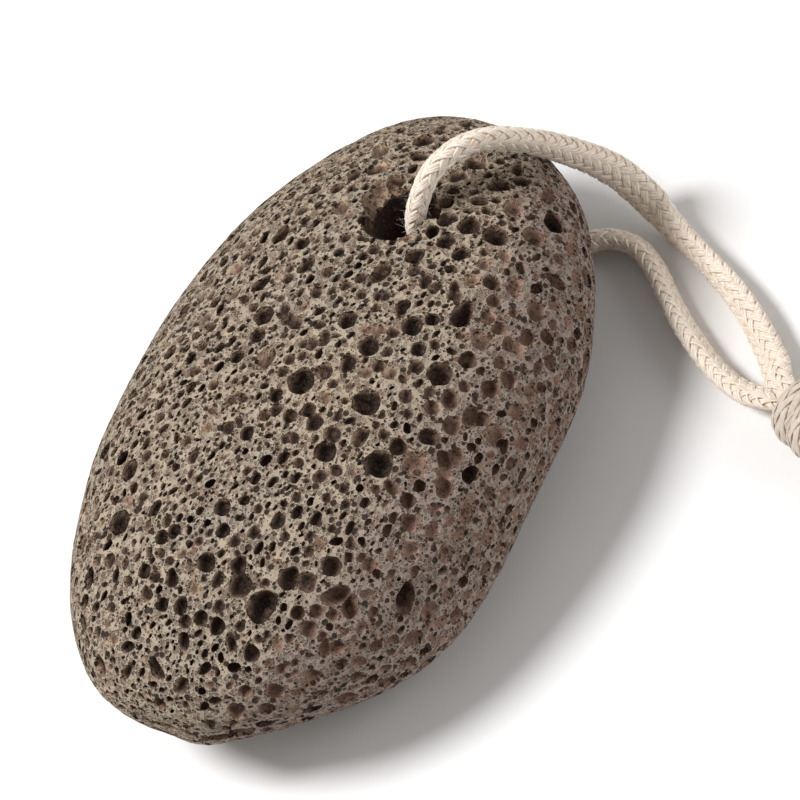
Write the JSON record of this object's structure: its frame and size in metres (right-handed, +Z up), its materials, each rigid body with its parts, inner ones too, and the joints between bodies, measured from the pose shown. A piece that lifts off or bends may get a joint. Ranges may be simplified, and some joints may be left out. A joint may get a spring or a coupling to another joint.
{
  "type": "pumice foot stone on a cord",
  "caption": "Rounded slab of brown porous lava, pitted all over and drilled near one end, with a knotted cotton cord loop through the hole.",
  "frame": {"origin": "bottom centre of the stone, on the surface it rests on", "axes": "+X along the stone to its drilled end, +Z up through its thickness, the cord's loop lies towards -Y"},
  "size_m": [0.1044, 0.1127, 0.0377],
  "materials": {
    "stone": "dry matt brown lava, open pits and pores, paler grey-tan ground skin",
    "cotton": "unbleached cotton braid, soft and slightly fuzzy"
  },
  "bodies": {
    "root": {"pumice_stone": "stone", "cord": "cotton", "cord_knot": "cotton"}
  },
  "joints": []
}
